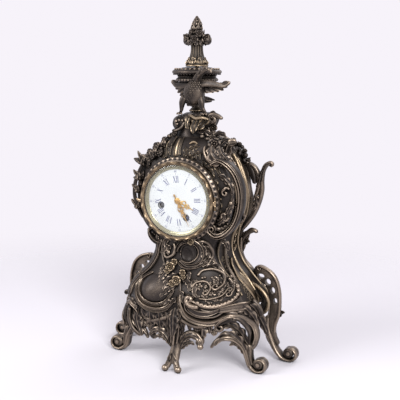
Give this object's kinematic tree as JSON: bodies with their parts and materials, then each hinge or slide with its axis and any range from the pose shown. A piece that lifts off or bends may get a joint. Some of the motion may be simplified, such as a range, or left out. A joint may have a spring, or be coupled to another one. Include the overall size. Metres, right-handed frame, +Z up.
{
  "type": "mantel clock",
  "caption": "Cast bronze mantel clock in the rocaille style, with a waisted case on scrolled feet, a round enamel dial and a winged bird under the finial.",
  "frame": {"origin": "on the ground under the middle of the clock's bounding box", "axes": "+X to the right seen from the front, +Y to the back, +Z up; the dial faces -Y"},
  "size_m": [0.287, 0.1277, 0.4676],
  "materials": {
    "bronze": "dark patinated cast bronze, worn to warm brown on the raised edges",
    "brass": "polished brass, slightly tarnished",
    "steel": "blued and polished steel",
    "gilt": "gilt, pierced and polished",
    "enamel": "white vitreous enamel with painted numerals",
    "glass": "clear, bevelled"
  },
  "bodies": {
    "case": {"case_body": "bronze", "rear_frame": "bronze", "rear_leg_right": "bronze", "rear_leg_left": "bronze", "front_leg_right": "bronze", "front_leg_left": "bronze", "front_foot_centre": "bronze", "apron_right": "bronze", "apron_left": "bronze", "flower_garland": "bronze", "acanthus_scroll": "bronze", "waist_cartouche": "bronze", "crest": "bronze", "baluster": "bronze", "canopy_plate": "bronze", "finial_vase": "bronze", "finial_bouquet": "bronze", "winged_bird": "bronze", "top_rod": "steel", "front_ring": "brass", "hinge_pin": "steel", "slope_ring": "brass", "dial": "enamel", "dial_plate": "brass", "front_plate": "brass", "back_plate": "brass", "bell": "brass", "bell_stand": "steel", "suspension_cock": "brass", "strap_right": "brass", "strap_left": "brass", "rear_ring": "brass", "strap_screw_right": "steel", "strap_screw_left": "steel", "rear_hinge_pin": "steel"},
    "front_door": {"door_ring": "brass", "door_glass": "glass"},
    "rear_door": {"rear_door": "brass"},
    "cannon": {"cannon_pinion": "steel", "minute_hand": "gilt", "hand_nut": "gilt"},
    "hour": {"hour_wheel": "brass", "hour_hand": "gilt"},
    "minute_wheel": {"minute_wheel": "brass"},
    "centre": {"centre_arbor": "steel"},
    "middle": {"middle_wheel": "brass"},
    "going_barrel": {"going_barrel": "brass"},
    "escape": {"escape_wheel": "brass"},
    "pallets": {"pallet_anchor": "steel", "crutch": "steel"},
    "pendulum": {"pendulum_rod": "steel", "pendulum_bob": "brass", "rating_nut": "brass"},
    "winding_going": {"winding_arbor_going": "steel"},
    "winding_strike": {"winding_arbor_strike": "steel"},
    "strike_barrel": {"strike_barrel": "brass"},
    "pin_wheel": {"pin_wheel": "brass", "count_wheel": "brass"},
    "hammer": {"hammer": "steel"}
  },
  "joints": [
    {"name": "front_door_hinge", "type": "hinge", "parent": "case", "child": "front_door", "pos_m": [0.054, -0.0385, 0.23], "axis": [0, 0, 1], "range_deg": [0, 120]},
    {"name": "rear_door_hinge", "type": "hinge", "parent": "case", "child": "rear_door", "pos_m": [-0.052, 0.058, 0.23], "axis": [0, 0, 1], "range_deg": [0, 110]},
    {"name": "minute_hand_turn", "type": "hinge", "parent": "case", "child": "cannon", "pos_m": [0, -0.03, 0.23], "axis": [0, 1, 0], "continuous": true},
    {"name": "hour_hand_turn", "type": "hinge", "parent": "case", "child": "hour", "pos_m": [0, -0.03, 0.23], "axis": [0, 1, 0], "continuous": true},
    {"name": "minute_wheel_turn", "type": "hinge", "parent": "case", "child": "minute_wheel", "pos_m": [-0.00563, -0.027, 0.2406], "axis": [0, 1, 0], "continuous": true},
    {"name": "centre_turn", "type": "hinge", "parent": "case", "child": "centre", "pos_m": [0, -0.01, 0.23], "axis": [0, 1, 0], "continuous": true},
    {"name": "middle_wheel_turn", "type": "hinge", "parent": "case", "child": "middle", "pos_m": [0.01328, -0.01, 0.22793], "axis": [0, 1, 0], "continuous": true},
    {"name": "going_barrel_turn", "type": "hinge", "parent": "case", "child": "going_barrel", "pos_m": [0.0125, -0.01, 0.20835], "axis": [0, 1, 0], "continuous": true},
    {"name": "escape_wheel_turn", "type": "hinge", "parent": "case", "child": "escape", "pos_m": [0, -0.01, 0.24254], "axis": [0, 1, 0], "continuous": true},
    {"name": "pendulum_swing", "type": "hinge", "parent": "case", "child": "pendulum", "pos_m": [0, 0.0075, 0.25404], "axis": [0, 1, 0], "range_deg": [-4, 4]},
    {"name": "pallet_rock", "type": "hinge", "parent": "case", "child": "pallets", "pos_m": [0, -0.01, 0.25404], "axis": [0, 1, 0], "range_deg": [-4.2, 4.2]},
    {"name": "winding_going_turn", "type": "hinge", "parent": "case", "child": "winding_going", "pos_m": [0.0125, -0.01, 0.20835], "axis": [0, 1, 0], "continuous": true},
    {"name": "winding_strike_turn", "type": "hinge", "parent": "case", "child": "winding_strike", "pos_m": [-0.02391, -0.01, 0.22269], "axis": [0, 1, 0], "continuous": true},
    {"name": "strike_barrel_turn", "type": "hinge", "parent": "case", "child": "strike_barrel", "pos_m": [-0.02391, -0.01, 0.22269], "axis": [0, 1, 0], "continuous": true},
    {"name": "pin_wheel_turn", "type": "hinge", "parent": "case", "child": "pin_wheel", "pos_m": [-0.02731, -0.01, 0.24199], "axis": [0, 1, 0], "continuous": true},
    {"name": "hammer_lift", "type": "hinge", "parent": "case", "child": "hammer", "pos_m": [-0.013, 0.014, 0.262], "axis": [0, 1, 0], "range_deg": [0, 12]}
  ],
  "couplings": [
    {"joint": "hour_hand_turn", "follows": "minute_hand_turn", "ratio": 0.083333},
    {"joint": "minute_wheel_turn", "follows": "minute_hand_turn", "ratio": -0.33333},
    {"joint": "middle_wheel_turn", "follows": "centre_turn", "ratio": -0.16667},
    {"joint": "going_barrel_turn", "follows": "centre_turn", "ratio": 0.027778},
    {"joint": "escape_wheel_turn", "follows": "centre_turn", "ratio": -10},
    {"joint": "pallet_rock", "follows": "pendulum_swing", "ratio": 1},
    {"joint": "pin_wheel_turn", "follows": "strike_barrel_turn", "ratio": -6}
  ]
}
